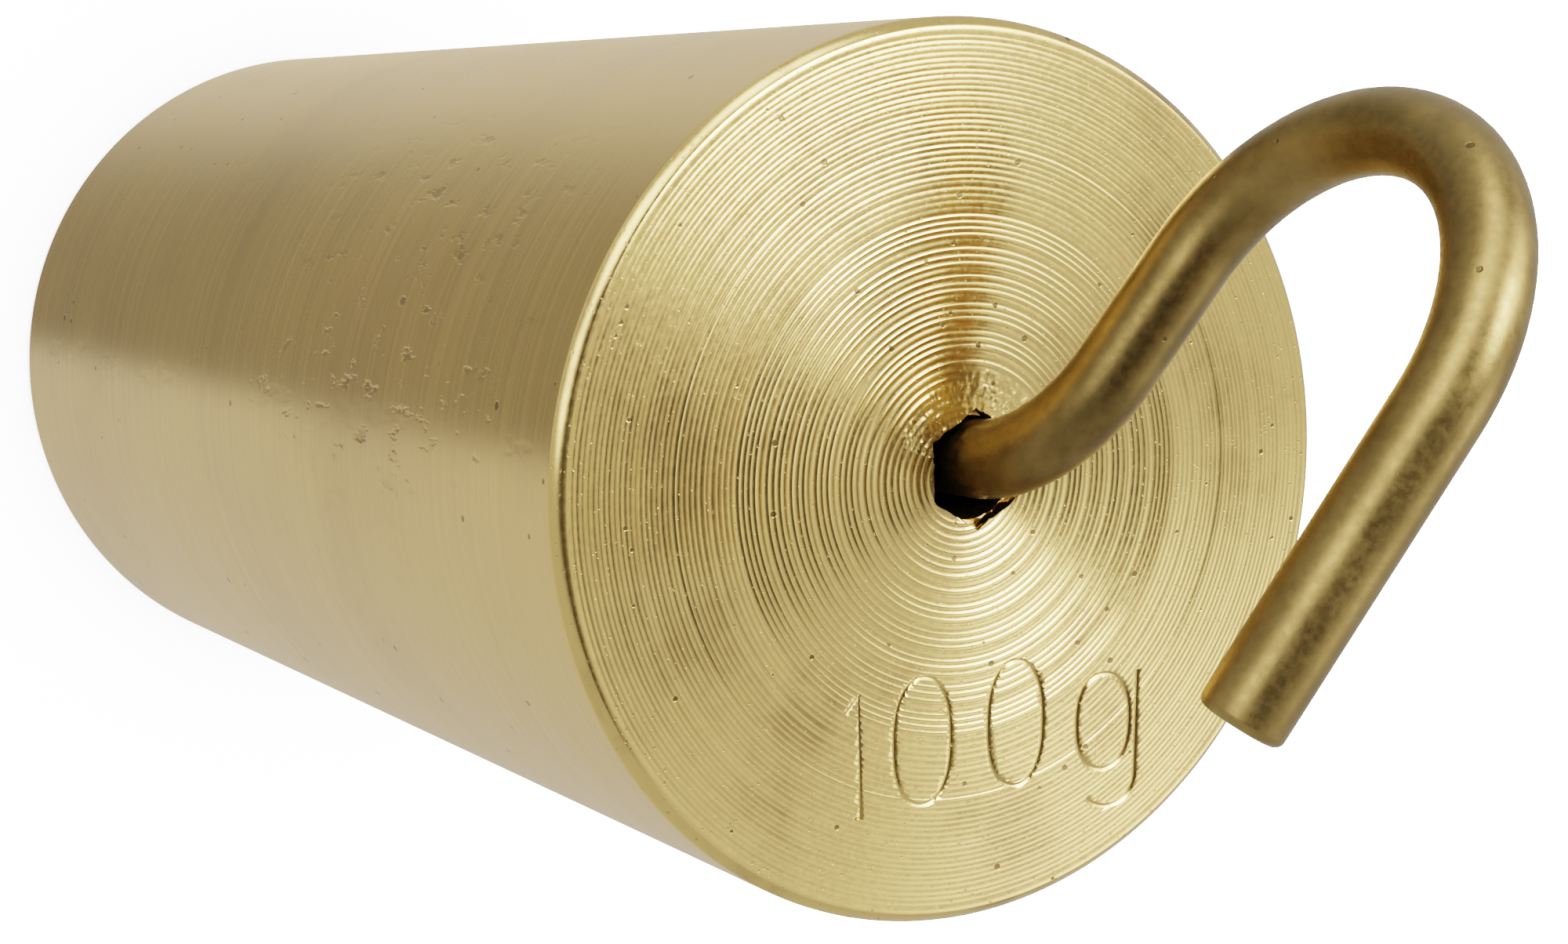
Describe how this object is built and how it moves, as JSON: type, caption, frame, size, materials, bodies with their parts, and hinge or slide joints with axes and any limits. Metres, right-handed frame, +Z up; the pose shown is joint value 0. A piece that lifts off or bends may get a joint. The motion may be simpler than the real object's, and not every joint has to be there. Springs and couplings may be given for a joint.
{
  "type": "hooked weight",
  "caption": "Cylindrical brass balance weight with a bent wire hook that swivels in an axial bore, closed by a plug in the base.",
  "frame": {"origin": "centre of the flat base that the weight stands on", "axes": "+Z up along the turned axis towards the hook; the hook's crown leans to -X and its free end points to +X"},
  "size_m": [0.0198, 0.0198, 0.0522],
  "materials": {
    "turned_brass": "turned end face, satin drawn side, bright chamfers",
    "tarnished_brass_wire": "drawn wire, tarnished brown, satin",
    "plain_brass": "plain turned, satin",
    "lead": "dull grey, soft"
  },
  "bodies": {
    "weight": {"weight_body": "turned_brass", "hook_washer": "plain_brass", "trim_slug": "lead", "base_plug": "plain_brass"},
    "hook": {"hook": "tarnished_brass_wire"}
  },
  "joints": [
    {"name": "hook_swivel", "type": "hinge", "parent": "weight", "child": "hook", "pos_m": [-0.0003, 0.00025, 0.0385], "axis": [0, 0, 1], "continuous": true}
  ]
}
